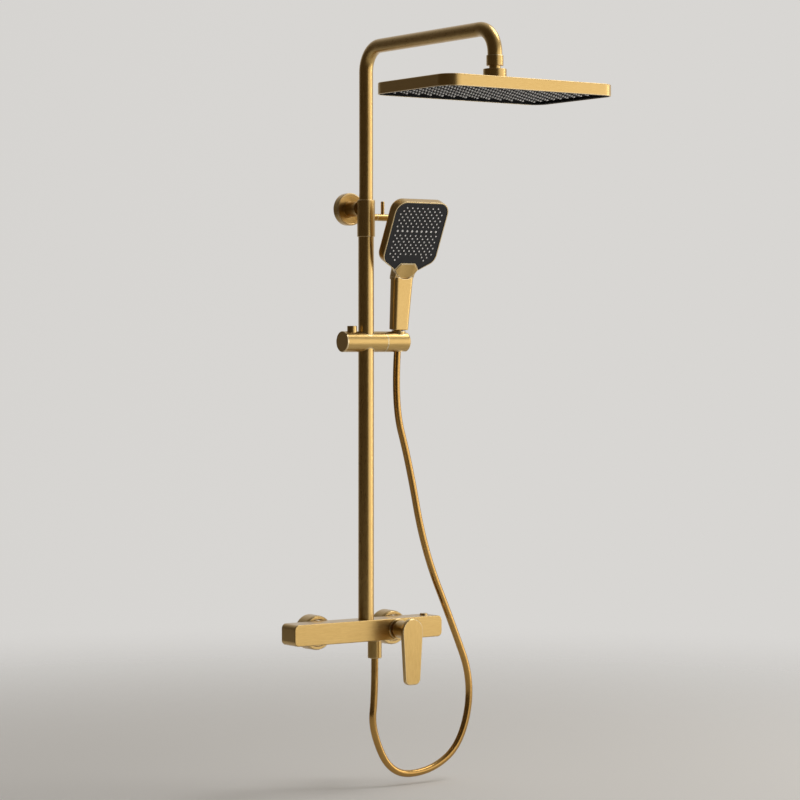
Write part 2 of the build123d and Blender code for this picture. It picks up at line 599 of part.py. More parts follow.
def head_pieces():
    """Connector nut, ball, seat, flange nut and the rain head."""
    y = HEAD_Y
    mouth = DROP_END - 0.1
    nut = pin_z(ARM_NUT_LOW, ARM_NUT_TOP, 0, y, ARM_NUT_R)
    nut = fillet(nut.edges().group_by(Axis.Z)[0], 0.8)
    nut -= pin_z(mouth, ARM_NUT_TOP + 1, 0, y, UPPER_R + RUN)
    nut -= pin_z(ARM_NUT_LOW + 3, mouth + 1, 0, y, 10 + RUN)
    nut -= pin_z(ARM_NUT_LOW - 1, mouth, 0, y, BALL_NECK_R + RUN)
    save("arm_nut", nut)
    ball = Pos(0, y, BALL_Z) * Sphere(BALL_R)
    ball += pin_z(BALL_Z, ARM_NUT_LOW + 4, 0, y, BALL_NECK_R)
    ball += pin_z(ARM_NUT_LOW + 3 + RUN, mouth - RUN, 0, y, 10)
    save("head_ball", ball - pin_z(BALL_Z - 20, mouth + 1, 0, y, 5))

    centre = Pos(0, y, BALL_Z)
    outer = BALL_R + RUN + SEAT_T
    seat = centre * (Sphere(outer) - Sphere(BALL_R + RUN))
    seat &= pin_z(BALL_Z - 9.5, BALL_Z - 4.6, 0, y, 30)
    save("ball_seat", seat)
    collar = pin_z(HEAD_TOP, FLANGE_NUT_TOP, 0, y, FLANGE_NUT_R)
    collar = fillet(collar.edges().group_by(Axis.Z)[-1], 1.0)
    cavity = centre * Sphere(outer + RUN) & pin_z(BALL_Z - 20, BALL_Z - 1.5, 0, y, 30)
    throat = centre * Sphere(BALL_R + RUN) & pin_z(BALL_Z - 2, BALL_Z + 3.8, 0, y, 30)
    lip = math.sqrt((BALL_R + RUN) ** 2 - 3.8**2)
    rise = FLANGE_NUT_TOP - BALL_Z
    flare = turned(
        [(0, 3.7), (lip, 3.7), (lip + (rise + 1 - 3.7) * 0.4, rise + 1), (0, rise + 1)],
        (0, y, BALL_Z),
        (0, 0, 1),
    )
    collar -= cavity
    collar -= throat
    collar -= flare
    collar -= pin_z(HEAD_TOP - 1, HEAD_TOP + 5.05, 0, y, 15.5 + RUN)
    save("ball_flange_nut", collar)

    plan = Plane(origin=(0, y, HEAD_LOW)) * RectangleRounded(HEAD_LENGTH, HEAD_WIDTH, HEAD_CORNER)
    shell = extrude(plan, HEAD_T)
    shell = fillet(shell.faces().sort_by(Axis.Z)[-1].edges(), 1.6)
    shell = chamfer(shell.faces().sort_by(Axis.Z)[0].edges(), 0.5)
    hollow = Plane(origin=(0, y, HEAD_LOW - 1)) * RectangleRounded(
        HEAD_LENGTH - 2 * HEAD_WALL, HEAD_WIDTH - 2 * HEAD_WALL, HEAD_CORNER - HEAD_WALL
    )
    shell -= extrude(hollow, HEAD_T + 1 - 2.4)
    shell += pin_z(HEAD_TOP - 0.1, HEAD_TOP + 5, 0, y, 15.5)
    shell -= centre * Sphere(outer + RUN)
    shell -= pin_z(HEAD_TOP - 5, HEAD_TOP + 6, 0, y, 6)
    save("head_shell", shell)

    grid, rim = nozzle_points()
    under = HEAD_LOW + 0.6
    field = under + FIELD_RISE
    inset = HEAD_WALL + PLATE_BORDER
    plate = RectangleRounded(
        HEAD_LENGTH - 2 * HEAD_WALL - 0.1, HEAD_WIDTH - 2 * HEAD_WALL - 0.1, HEAD_CORNER - HEAD_WALL
    )
    opening = RectangleRounded(HEAD_LENGTH - 2 * inset, HEAD_WIDTH - 2 * inset, HEAD_CORNER - inset)
    holes = Sketch() + [Pos(*p) * Circle(NOZZLE_R + RUN) for p in grid]
    holes += [Pos(*p) * Circle(RIM_NOZZLE_R + RUN) for p in rim]
    face = extrude(Plane(origin=(0, y, field)) * (plate - holes), PLATE_T)
    face += extrude(Plane(origin=(0, y, under)) * (plate - opening), FIELD_RISE + PLATE_T)
    save("head_face", face)
    dots = Sketch() + [Pos(*p) * Circle(NOZZLE_R) for p in grid]
    dots += [Pos(*p) * Circle(RIM_NOZZLE_R) for p in rim]
    pad = RectangleRounded(2 * (NOZZLE_FIELD_X + MAT_MARGIN_X), 2 * (NOZZLE_FIELD_Y + MAT_MARGIN_Y), 15)
    mat = extrude(Plane(origin=(0, y, field + PLATE_T)) * pad, 1.4)
    mat += extrude(Plane(origin=(0, y, field - NOZZLE_PROUD)) * dots, NOZZLE_PROUD + PLATE_T)
    save("head_nozzles", mat)


def slider_pieces():
    """Slider body, cap, liner, button, spring, pivot bolt and the turning holder."""
    y, z, r = RISER_Y, SLIDER_Z, SLIDER_R
    cap_x = SLIDER_LEFT + SLIDER_CAP_T
    body = pin_x(cap_x, SLIDER_SEAM - 0.4, y, z, r)
    body -= pin_z(z - 30, z + 30, 0, y, LOWER_R + FREE)
    body -= pin_z(z - LINER_HALF - RUN, z + LINER_HALF + RUN, 0, y, LINER_R + RUN)
    body -= pin_z(z + 1, z + 30, SLIDER_BUTTON_X, y, SLIDER_BUTTON_R + 0.1)
    body -= pin_x(cap_x - 1, cap_x + 7.5, y, z, 12)
    body -= pin_x(19.5, SLIDER_SEAM + 1, y, z, PIVOT_BOLT_R + SNUG)
    save("slider_body", body)
    cap = pin_x(SLIDER_LEFT, cap_x, y, z, r)
    cap = chamfer(cap.edges().group_by(Axis.X)[0], 0.7)
    save("slider_end_cap", cap + pin_x(cap_x, cap_x + 7, y, z, 12 - SNUG))
    liner = pin_z(z - LINER_HALF, z + LINER_HALF, 0, y, LINER_R)
    save("slider_liner", liner - pin_z(z - 20, z + 20, 0, y, LOWER_R + RUN))
    button = pin_z(z + 11, SLIDER_BUTTON_TOP, SLIDER_BUTTON_X, y, SLIDER_BUTTON_R)
    button = fillet(button.edges().group_by(Axis.Z)[-1], 1.0)
    save("slider_button", button - pin_z(z + 10, z + 18, SLIDER_BUTTON_X, y, 6))
    save("slider_spring", coil(4.8, 0.5, 17, 6, SLIDER_BUTTON_X, y, z + 1))

    bolt = pin_x(20, 46, y, z, PIVOT_BOLT_R) + pin_x(46, 50, y, z, 8)
    socket_key = pin_x(47.5, 51, y, z, 2.5)
    save("holder_pivot_bolt", bolt - socket_key)
    washer = pin_x(SLIDER_SEAM - 0.3, SLIDER_SEAM + 0.3, y, z, r - 0.8)
    save("holder_washer", washer - pin_x(SLIDER_SEAM - 1, SLIDER_SEAM + 1, y, z, PIVOT_BOLT_R + RUN))
    holder = pin_x(SLIDER_SEAM + 0.3, HOLDER_END, y, z, r)
    holder = fillet(holder.edges().group_by(Axis.X)[-1], 4.0)
    holder -= pin_x(SLIDER_SEAM, 47, y, z, PIVOT_BOLT_R + RUN)
    holder -= pin_x(46 - RUN, SOCKET_X, y, z, 8 + FREE)
    slope = (CONE_TOP_R - CONE_LOW_R) / (CONE_TOP - CONE_LOW)
    reach = 24.0
    low_r = CONE_LOW_R + slope * (-reach - CONE_LOW) + 0.08
    top_r = CONE_LOW_R + slope * (reach - CONE_LOW) + 0.08
    axis = Plane(origin=hose_point(-reach), x_dir=(1, 0, 0), z_dir=Vector(*hose_point(1)) - Vector(*hose_point(0)))
    holder -= axis * Cone(low_r, top_r, 2 * reach, align=CENTRED)
    slot = Box(30, 2 * HOSE_R + 1.6, 2 * reach, align=(Align.MIN, Align.CENTER, Align.MIN))
    holder -= axis * slot
    save("holder", holder)


def in_hand(shape):
    """Place a piece drawn along the handle onto the socket's tilted axis."""
    return Pos(SOCKET_X, RISER_Y, SLIDER_Z) * Rot(SOCKET_TILT, 0, 0) * shape


def spray_points():
    """Nozzle centres on the hand shower's face as (x, distance below its top edge)."""
    centres = []
    upper = [7, 8, 9, 8, 9, 8, 9]
    rows = [(10.9 + i * SPRAY_ROW, n) for i, n in enumerate(upper)]
    rows += [(10.9 + 6 * SPRAY_ROW + 16 + i * SPRAY_ROW, n) for i, n in enumerate(reversed(upper[1:]))]
    last = rows[-1][0] + SPRAY_ROW
    rows.append((last, 9))
    for down, n in rows:
        for i in range(n):
            centres.append(((i - (n - 1) / 2) * SPRAY_PITCH, down))
    for side in (-1, 1):
        centres.append((side * 3.3 * SPRAY_PITCH, last + SPRAY_ROW))
        centres.append((side * 2.3 * SPRAY_PITCH, last + SPRAY_ROW))
        centres.append((side * 2.8 * SPRAY_PITCH, last + 2 * SPRAY_ROW))
    middle = 10.9 + 6 * SPRAY_ROW + 8
    jets = [((i - 4) * SPRAY_PITCH * 0.93, middle) for i in range(9)]
    return centres, jets


def handset_pieces():
    """Hand shower, its face, spray nozzles, push button, nipple, washer and hose nut."""
    half = FACE_WIDTH / 2
    neck = HANDLE_TOP_WIDTH / 2
    bend = math.radians(HEAD_BEND)
    front = Plane(
        origin=(0, -FACE_SET, BEND_S),
        x_dir=(1, 0, 0),
        z_dir=(0, -math.cos(bend), -math.sin(bend)),
    )

    def outline(inset):
        """The head's outline, drawn inside its edge by the stated amount."""
        side = half - inset
        top = FACE_HEIGHT - inset
        throat = neck + 0.5 - inset
        corner = FACE_CORNER - inset
        points = [
            (-throat + 1.6, -7),
            (-throat, THROAT_V),
            (-side, SHOULDER_V + inset * 0.6),
            (-side, top),
            (side, top),
            (side, SHOULDER_V + inset * 0.6),
            (throat, THROAT_V),
            (throat - 1.6, -7),
        ]
        line = FilletPolyline(
            *points, radius=[10 + inset, corner, corner, corner, corner, 10 + inset]
        )
        return make_face([line, Line(points[-1], points[0])])

    shield_points = [(-14, 26), (-22, 16), (0, 0.5), (22, 16), (14, 26)]
    shield = make_face(
        [
            Line(shield_points[0], shield_points[1]),
            ThreePointArc(shield_points[1], shield_points[2], shield_points[3]),
            Line(shield_points[3], shield_points[4]),
            Line(shield_points[4], shield_points[0]),
        ]
    )
    shield = fillet(shield.vertices(), 2.5)

    low = Plane(origin=(0, 0, HANDLE_LOW)) * RectangleRounded(HANDLE_LOW_WIDTH, HANDLE_DEPTH - 1, 6.5)
    high = Plane(origin=(0, 0, HANDLE_TOP)) * RectangleRounded(HANDLE_TOP_WIDTH, HANDLE_DEPTH, 7)
    handle = loft([low, high])
    handle = fillet(handle.edges().group_by(Axis.Z)[0], 1.5)
    head = extrude(front * outline(0), -SHELL_T)
    back = head.faces().sort_by(Axis(origin=(0, 0, 0), direction=front.z_dir))[0]
    head = fillet(back.edges(), BACK_ROUND)
    rim = head.faces().sort_by(Axis(origin=(0, 0, 0), direction=front.z_dir))[-1]
    head = fillet(rim.edges(), 0.6)
    head -= block(-FACE_WIDTH, FACE_WIDTH, HANDLE_DEPTH / 2, 60, 0, NECK_TOP)
    shell = handle + head

    wall_band = offset(shield, 1.6)
    window_high = FACE_HEIGHT + 8 - WINDOW_LOW
    window = outline(FACE_RIM) & (Pos(0, WINDOW_LOW + window_high / 2) * Rectangle(2 * FACE_WIDTH, window_high))
    window = window - wall_band
    window = window.faces().sort_by(SortBy.AREA)[-1]
    pocket = offset(window, RUN)
    shell -= extrude(front * pocket, -9)
    recess = offset(shield, BUTTON_GAP)
    shell -= extrude(front * recess, -8.5)
    shell -= extrude(front * recess, 8)
    shell -= rod((0, 0, HANDLE_LOW - 1), (0, 0, 1), 5 + RUN, 13)
    shell -= rod((0, 0, HANDLE_LOW - 1), (0, 0, 1), 3.4, BEND_S - HANDLE_LOW - 1)
    shell -= rod((0, 1.5, BEND_S - 8), (0, -0.36, 0.933), 3.4, 30)
    save("handset_shell", in_hand(shell))

    plate_front = front.offset(-FACE_SINK)
    plate_back = front.offset(-FACE_SINK - FACE_PLATE_T)
    centres, jets = spray_points()
    spots = [(px, FACE_HEIGHT - down, SPRAY_R) for px, down in centres]
    spots += [(px, FACE_HEIGHT - down, SPRAY_R * 1.35) for px, down in jets]
    holes = Sketch() + [Pos(px, py) * Circle(pr + RUN) for px, py, pr in spots]
    face = extrude(plate_front * (window - holes), -FACE_PLATE_T)
    save("handset_face", in_hand(face))
    dots = Sketch() + [Pos(px, py) * Circle(pr) for px, py, pr in spots]
    mat_high = FACE_HEIGHT - SPRAY_MAT_LOW
    band = Pos(0, SPRAY_MAT_LOW + mat_high / 2) * Rectangle(2 * FACE_WIDTH, mat_high)
    mat = extrude(plate_back * (outline(FACE_RIM + 3) & band), -1.2)
    mat += extrude(plate_back.offset(FACE_PLATE_T + 0.9) * dots, -FACE_PLATE_T - 0.9)
    mat -= extrude(front * offset(shield, 2.4), -12)
    save("handset_nozzles", in_hand(mat))
    button = extrude(front.offset(0.9) * shield, -6.4)
    cap = button.faces().sort_by(Axis(origin=(0, 0, 0), direction=front.z_dir))[-1]
    button = fillet(cap.edges(), 0.8)
    hollow = Plane(origin=front.offset(0.9 - THUMB_HOLLOW + THUMB_R).origin, z_dir=front.y_dir)
    button -= hollow * Cylinder(THUMB_R, 200)
    save("handset_button", in_hand(button))

    nipple = rod((0, 0, 5), (0, 0, 1), TAIL_R, 9) + rod((0, 0, 14), (0, 0, 1), 5, HANDLE_LOW - 2.2)
    save("handset_nipple", in_hand(nipple - rod((0, 0, 4), (0, 0, 1), 3.4, 40)))
    washer = rod((0, 0, 3), (0, 0, 1), TAIL_R - 0.2, 2) - rod((0, 0, 2), (0, 0, 1), 4, 4)
    save("handset_washer", in_hand(washer))
    cone = turned(
        [
            (HOSE_BORE, CONE_LOW),
            (CONE_LOW_R, CONE_LOW),
            (CONE_TOP_R, CONE_TOP),
            (TAIL_R + RUN, CONE_TOP),
            (TAIL_R + RUN, 3),
            (HOSE_BORE, 3),
        ],
        (0, 0, 0),
        (0, 0, 1),
    )
    save("hose_cone_nut", in_hand(cone))


inlet_pieces()
mixer_pieces()
cartridge_pieces()
diverter_pieces()
outlet_pieces()
riser_pieces()
head_pieces()
slider_pieces()
handset_pieces()
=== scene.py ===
"""Dresses the rainfall shower column: hose, springs, nozzles, threads, finishes and studio."""

import logging
import math
from dataclasses import dataclass, field
from enum import Enum
from typing import Any

import bmesh
import bpy
from mathutils import Matrix, Vector


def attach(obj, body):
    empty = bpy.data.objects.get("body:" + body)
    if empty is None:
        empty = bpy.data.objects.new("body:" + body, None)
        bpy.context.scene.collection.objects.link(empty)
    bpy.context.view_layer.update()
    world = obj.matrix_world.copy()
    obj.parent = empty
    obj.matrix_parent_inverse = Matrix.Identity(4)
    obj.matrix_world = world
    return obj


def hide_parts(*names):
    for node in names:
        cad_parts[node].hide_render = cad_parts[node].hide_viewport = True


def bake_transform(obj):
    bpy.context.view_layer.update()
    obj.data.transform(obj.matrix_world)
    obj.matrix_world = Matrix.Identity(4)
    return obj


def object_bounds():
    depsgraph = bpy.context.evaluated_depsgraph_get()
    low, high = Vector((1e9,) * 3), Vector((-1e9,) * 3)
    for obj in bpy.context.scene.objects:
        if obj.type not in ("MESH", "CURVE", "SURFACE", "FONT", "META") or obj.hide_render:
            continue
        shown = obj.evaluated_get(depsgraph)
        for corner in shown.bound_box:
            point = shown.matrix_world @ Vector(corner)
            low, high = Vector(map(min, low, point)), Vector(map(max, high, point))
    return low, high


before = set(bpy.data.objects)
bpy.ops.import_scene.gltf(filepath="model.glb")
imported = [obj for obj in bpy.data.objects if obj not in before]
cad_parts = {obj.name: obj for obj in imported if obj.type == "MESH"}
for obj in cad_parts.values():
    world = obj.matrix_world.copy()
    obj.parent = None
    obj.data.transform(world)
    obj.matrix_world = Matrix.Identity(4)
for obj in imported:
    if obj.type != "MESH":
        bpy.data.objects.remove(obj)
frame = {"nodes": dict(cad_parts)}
CAD_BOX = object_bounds()

LOG = logging.getLogger("shower_column")
MM = 0.001
SHARP_DEG = 38.0
# A noise pattern's values lie mostly between these two.
NOISE_LOW = 0.3
NOISE_HIGH = 0.7

BMesh = bmesh.types.BMesh
Ring = list[bmesh.types.BMVert]
Line = list[Vector]
Material = bpy.types.Material
Node = bpy.types.Node
Object = bpy.types.Object
Socket = bpy.types.NodeSocket
Tree = bpy.types.NodeTree
Triple = tuple[float, float, float]
Profile = list[tuple[float, float]]


class Grain(Enum):
    """The way a brushed surface's marks run, as the pattern's scale along X, Y and Z."""

    ACROSS = (0.04, 1.0, 1.0)
    INWARD = (1.0, 0.04, 1.0)
    UPWARD = (1.0, 1.0, 0.04)
    BENT = (1.0, 0.05, 0.05)


def linear(code: str) -> tuple[float, float, float, float]:
    """Turns an sRGB hex colour into linear RGBA.

    Args:
        code: Six hex digits after a hash sign.

    Returns:
        Linear red, green, blue and an alpha of 1.
    """
    parts = [int(code[i : i + 2], 16) / 255 for i in (1, 3, 5)]
    flat = [c / 12.92 if c <= 0.04045 else ((c + 0.055) / 1.055) ** 2.4 for c in parts]
    return (flat[0], flat[1], flat[2], 1.0)


def add(tree: Tree, kind: str, inputs: dict[Any, Any] | None = None, **settings: Any) -> Node:
    """Adds a shader node with its settings, constants and links.

    Args:
        tree: The tree that takes the node.
        kind: The node's type name.
        inputs: Socket name or index to a constant or another node's output.
        **settings: Properties of the node.

    Returns:
        The new node.
    """
    made = tree.nodes.new(kind)
    for name, value in settings.items():
        setattr(made, name, value)
    for name, value in (inputs or {}).items():
        if isinstance(value, Socket):
            tree.links.new(value, made.inputs[name])
        else:
            made.inputs[name].default_value = value
    return made


def per_metre(size_mm: float) -> float:
    """Gives a texture scale whose features are about the stated size in millimetres."""
    return 1.0 / (size_mm * MM)


@dataclass(frozen=True)
class Finish:
    """What every finish has: a name, two close colours and a range of roughness."""

    name: str
    light: str
    deep: str
    smooth: float
    rough: float
    soft_mm: float = 0.25
    relief: float = 0.3
    relief_mm: float = 0.02

    def start(self) -> tuple[Material, Tree, Node]:
        """Makes the material with an empty tree and its coordinates.

        Returns:
            The material, its node tree and the coordinate node.
        """
        material = bpy.data.materials.new(self.name)
        material.use_nodes = True
        material.diffuse_color = linear(self.light)
        tree = material.node_tree
        tree.nodes.clear()
        return material, tree, add(tree, "ShaderNodeTexCoord")

    def close(self, tree: Tree, inputs: dict[Any, Any]) -> None:
        """Adds the surface shader and the output.

        Args:
            tree: The material's tree.
            inputs: The shader's sockets.
        """
        shader = add(tree, "ShaderNodeBsdfPrincipled", inputs)
        add(tree, "ShaderNodeOutputMaterial", {"Surface": shader.outputs[0]})

    def noise(self, tree: Tree, where: Node, size_mm: float, detail: float) -> Socket:
        """Draws an even noise in the object's own space.

        Args:
            tree: The material's tree.
            where: The coordinate node.
            size_mm: About how large its features are.
            detail: How many finer layers it has.

        Returns:
            The pattern.
        """
        inputs = {"Vector": where.outputs["Object"], "Scale": per_metre(size_mm), "Detail": detail}
        return add(tree, "ShaderNodeTexNoise", inputs).outputs[0]

    def mixed(self, tree: Tree, share: float, first: Socket, second: Socket) -> Socket:
        """Mixes two patterns.

        Args:
            tree: The material's tree.
            share: The second pattern's share.
            first: One pattern.
            second: The other.

        Returns:
            The mixed pattern.
        """
        inputs = {0: share, 2: first, 3: second}
        return add(tree, "ShaderNodeMix", inputs, data_type="FLOAT").outputs[0]

    def tint(self, tree: Tree, factor: Socket) -> Socket:
        """Mixes the two colours by a pattern.

        Args:
            tree: The material's tree.
            factor: The pattern, from 0 to 1.

        Returns:
            The colour.
        """
        inputs = {0: factor, 6: linear(self.deep), 7: linear(self.light)}
        return add(tree, "ShaderNodeMix", inputs, data_type="RGBA").outputs[2]

    def span(self, tree: Tree, factor: Socket) -> Socket:
        """Spreads a pattern over the finish's range of roughness.

        Args:
            tree: The material's tree.
            factor: The pattern.

        Returns:
            The roughness.
        """
        inputs = {0: factor, 1: NOISE_LOW, 2: NOISE_HIGH, 3: self.smooth, 4: self.rough}
        return add(tree, "ShaderNodeMapRange", inputs).outputs[0]

    def rounded(self, tree: Tree) -> Socket:
        """Gives the normal with softly rounded edges."""
        return add(tree, "ShaderNodeBevel", {"Radius": self.soft_mm * MM}, samples=4).outputs[0]

    def raised(self, tree: Tree, height: Socket, normal: Socket | None = None) -> Socket:
        """Raises a pattern slightly.

        Args:
            tree: The material's tree.
            height: The pattern.
            normal: The normal that it is raised over, if not the mesh's own.

        Returns:
            The normal.
        """
        inputs = {"Strength": self.relief, "Distance": self.relief_mm * MM, "Height": height}
        if normal is not None:
            inputs["Normal"] = normal
        return add(tree, "ShaderNodeBump", inputs).outputs[0]


@dataclass(frozen=True)
class BrushedGold(Finish):
    """Brass, brushed in one direction and coated gold: soft long highlights, and a painted
    highlight that lightens the colour along the edges.
    """

    grain: Grain = Grain.UPWARD
    stroke_mm: float = 0.55
    cloud_mm: float = 90.0
    cloud_share: float = 0.12
    tint_low: float = 0.34
    tint_high: float = 0.66
    soft_mm: float = 0.4
    # The colour of the painted highlight along the edges.
    edge: str = "#FAEBC6"
    edge_mm: float = 2.2
    edge_start: float = 0.985
    edge_full: float = 0.9
    edge_share: float = 0.9
    relief: float = 0.16
    relief_mm: float = 0.04
    coat: float = 0.5
    coat_rough: float = 0.3

    def marks(self, tree: Tree, where: Node) -> Socket:
        """Draws the brush marks.

        Args:
            tree: The material's tree.
            where: The coordinate node.

        Returns:
            The pattern.
        """
        # Real brush marks are about 0.1 mm apart. They are drawn coarser, so that a close view
        # shows them.
        scale = [per_metre(self.stroke_mm) * k for k in self.grain.value]
        strokes = add(
            tree, "ShaderNodeMapping", {"Vector": where.outputs["Object"], "Scale": scale}
        )
        noise = add(
            tree,
            "ShaderNodeTexNoise",
            {"Vector": strokes.outputs[0], "Scale": 1.0, "Detail": 3.0, "Roughness": 0.65},
        )
        return noise.outputs[0]

    def painted_edge_highlight(self, tree: Tree, colour: Socket) -> Socket:
        """Brightens the colour along the edges with a painted highlight.

        Args:
            tree: The material's tree.
            colour: The colour of the faces.

        Returns:
            The colour with its painted highlight along the edges.
        """
        # Painted highlight: a bevel mask blends a pale colour into the base colour beside every
        # rounded edge.
        around = add(tree, "ShaderNodeBevel", {"Radius": self.edge_mm * MM}, samples=8)
        flat = add(tree, "ShaderNodeNewGeometry")
        turn = add(
            tree,
            "ShaderNodeVectorMath",
            {0: around.outputs[0], 1: flat.outputs["Normal"]},
            operation="DOT_PRODUCT",
        )
        ramp = {1: self.edge_start, 2: self.edge_full, 3: 0.0, 4: self.edge_share}
        share = add(tree, "ShaderNodeMapRange", {0: turn.outputs["Value"], **ramp})
        inputs = {0: share.outputs[0], 6: colour, 7: linear(self.edge)}
        return add(tree, "ShaderNodeMix", inputs, data_type="RGBA").outputs[2]

    def make(self) -> Material:
        """Builds the material.

        Returns:
            The brushed gold material for one direction of brushing.
        """
        material, tree, where = self.start()
        marks = self.marks(tree, where)
        clouds = self.noise(tree, where, self.cloud_mm, 2.0)
        both = self.mixed(tree, self.cloud_share, marks, clouds)
        ramp = {1: self.tint_low, 2: self.tint_high}
        spread = add(tree, "ShaderNodeMapRange", {0: both, **ramp})
        self.close(
            tree,
            {
                "Base Color": self.painted_edge_highlight(tree, self.tint(tree, spread.outputs[0])),
                "Metallic": 1.0,
                "Roughness": self.span(tree, both),
                "Coat Weight": self.coat,
                "Coat Roughness": self.coat_rough,
                "Normal": self.raised(tree, marks, self.rounded(tree)),
            },
        )
        return material


@dataclass(frozen=True)
class Moulded(Finish):
    """A moulded or lapped surface: fine even grain, faint clouding, a soft rounded edge."""

    grain_mm: float = 0.6
    cloud_mm: float = 30.0
    cloud_share: float = 0.5
    metallic: float = 0.0
    ior: float = 1.5
    gloss: float = 0.5
    scatter: float = 0.0
    scatter_mm: Triple = (0.8, 0.6, 0.5)

    def make(self) -> Material:
        """Builds the material.

        Returns:
            The moulded material.
        """
        material, tree, where = self.start()
        grain = self.noise(tree, where, self.grain_mm, 2.0)
        clouds = self.noise(tree, where, self.cloud_mm, 3.0)
        both = self.mixed(tree, self.cloud_share, grain, clouds)
        sockets = {
            "Base Color": self.tint(tree, both),
            "Metallic": self.metallic,
            "Roughness": self.span(tree, both),
            "Specular IOR Level": self.gloss,
            "Normal": self.raised(tree, grain, self.rounded(tree)),
        }
        if not self.metallic:
            sockets["IOR"] = self.ior
        if self.scatter:
            sockets["Subsurface Weight"] = self.scatter
            sockets["Subsurface Radius"] = [c * MM for c in self.scatter_mm]
            sockets["Subsurface Scale"] = 1.0
        self.close(tree, sockets)
        return material


@dataclass(frozen=True)
class HoseSkin(Finish):
    """Clear PVC over a spiral of gold film: a satin tube with faint slanting winding lines."""

    cloud_mm: float = 25.0
    cloud_share: float = 0.6
    relief: float = 0.1
    relief_mm: float = 0.03
    metallic: float = 0.95
    coat: float = 0.2
    coat_rough: float = 0.12

    def make(self) -> Material:
        """Builds the material.

        Returns:
            The hose material; it reads the tube's own round and along coordinates.
        """
        material, tree, where = self.start()
        lines = add(
            tree,
            "ShaderNodeTexWave",
            {"Vector": where.outputs["UV"], "Scale": 1.0, "Distortion": 0.4, "Detail": 1.0},
            wave_type="BANDS",
            bands_direction="DIAGONAL",
        ).outputs[1]
        clouds = self.noise(tree, where, self.cloud_mm, 2.0)
        both = self.mixed(tree, self.cloud_share, lines, clouds)
        self.close(
            tree,
            {
                "Base Color": self.tint(tree, both),
                "Metallic": self.metallic,
                "Roughness": self.span(tree, both),
                "Coat Weight": self.coat,
                "Coat Roughness": self.coat_rough,
                "Normal": self.raised(tree, lines),
            },
        )
        return material


def mesh_object(name: str, built: BMesh, finish: Material) -> Object:
    """Turns a built mesh into a smooth shaded object.

    Args:
        name: The piece's name.
        built: The mesh under construction; it is freed.
        finish: The piece's material.

    Returns:
        The object, linked to the scene.
    """
    mesh = bpy.data.meshes.new(name)
    built.to_mesh(mesh)
    built.free()
    mesh.polygons.foreach_set("use_smooth", [True] * len(mesh.polygons))
    mesh.set_sharp_from_angle(angle=math.radians(SHARP_DEG))
    mesh.materials.append(finish)
    made = bpy.data.objects.new(name, mesh)
    bpy.context.scene.collection.objects.link(made)
    return made


def circle(radius: float, sides: int, height: float) -> Line:
    """Spaces points evenly round the Z axis.

    Args:
        radius: The circle's radius.
        sides: The number of points.
        height: The circle's height.

    Returns:
        The points in order from +X.
    """
    turns = [2 * math.pi * i / sides for i in range(sides)]
    return [Vector((radius * math.cos(a), radius * math.sin(a), height)) for a in turns]


def bridge(built: BMesh, low: Ring, high: Ring) -> list[bmesh.types.BMFace]:
    """Joins two rings with faces; a ring of one point closes the end.

    Args:
        built: The mesh that takes the faces.
        low: One ring.
        high: The next ring.

    Returns:
        The faces in order round the rings.
    """
    sides = max(len(low), len(high))
    faces = []
    for i in range(sides):
        j = (i + 1) % sides
        corners = [low[i % len(low)], low[j % len(low)], high[j % len(high)], high[i % len(high)]]
        faces.append(built.faces.new(list(dict.fromkeys(corners))))
    return faces


def lathe(built: BMesh, profile: Profile, sides: int, place: Matrix) -> None:
    """Turns a profile round an axis; a radius of 0 closes the end.

    Args:
        built: The mesh that takes the faces.
        profile: Radius and height pairs in metres, in order along the surface.
        sides: Faces round the axis.
        place: The matrix that takes the axis to its place.
    """
    rings = []
    for radius, height in profile:
        points = circle(radius, sides if radius else 1, height)
        rings.append([built.verts.new(place @ point) for point in points])
    for low, high in zip(rings, rings[1:]):
        bridge(built, low, high)


def sweep(built: BMesh, points: Line, radius: float, sides: int) -> list[Ring]:
    """Lays a round ring across each point of a line.

    Args:
        built: The mesh that takes the rings.
        points: The line that the rings follow.
        radius: Each ring's radius in metres.
        sides: Points round each ring.

    Returns:
        The rings in order, turned as little as possible from one to the next.
    """
    side = Vector((0, 1, 0))
    turns = [2 * math.pi * k / sides for k in range(sides)]
    rings = []
    for i, point in enumerate(points):
        ahead = points[min(i + 1, len(points) - 1)] - points[max(i - 1, 0)]
        ahead.normalize()
        side = (side - ahead * side.dot(ahead)).normalized()
        other = ahead.cross(side)
        spots = [
            point + side * radius * math.cos(a) + other * radius * math.sin(a) for a in turns
        ]
        rings.append([built.verts.new(spot) for spot in spots])
    return rings


@dataclass
class Spring:
    """A compression spring that stands under its button."""

    name: str
    node: str
    low_body: str
    high_body: str
    foot_mm: Triple
    height_mm: float
    coil_mm: float
    wire_mm: float
    turns: int
    steps: int = 36
    sides: int = 10

    def line(self) -> Line:
        """Winds the wire's centre line.

        Returns:
            Points up the helix, in metres.
        """
        count = self.turns * self.steps
        rise = self.height_mm - 2 * self.wire_mm
        points = []
        for i in range(count + 1):
            turn = 2 * math.pi * i / self.steps
            up = self.wire_mm + rise * i / count
            out = Vector((self.coil_mm * math.cos(turn), self.coil_mm * math.sin(turn), up))
            points.append((Vector(self.foot_mm) + out) * MM)
        return points

    def build(self, finish: Material) -> Object:
        """Builds the spring between its two bodies.

        Args:
            finish: The spring steel.

        Returns:
            The spring, in place of the rigid one.
        """
        built = bmesh.new()
        rings = sweep(built, self.line(), self.wire_mm * MM, self.sides)
        for low, high in zip(rings, rings[1:]):
            bridge(built, low, high)
        built.faces.new(rings[0])
        built.faces.new(rings[-1])
        bmesh.ops.recalc_face_normals(built, faces=built.faces)
        piece = mesh_object(self.name, built, finish)
        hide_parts(self.node)
        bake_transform(piece)
        LOG.info("%s: %d turns", self.name, self.turns)
        return piece


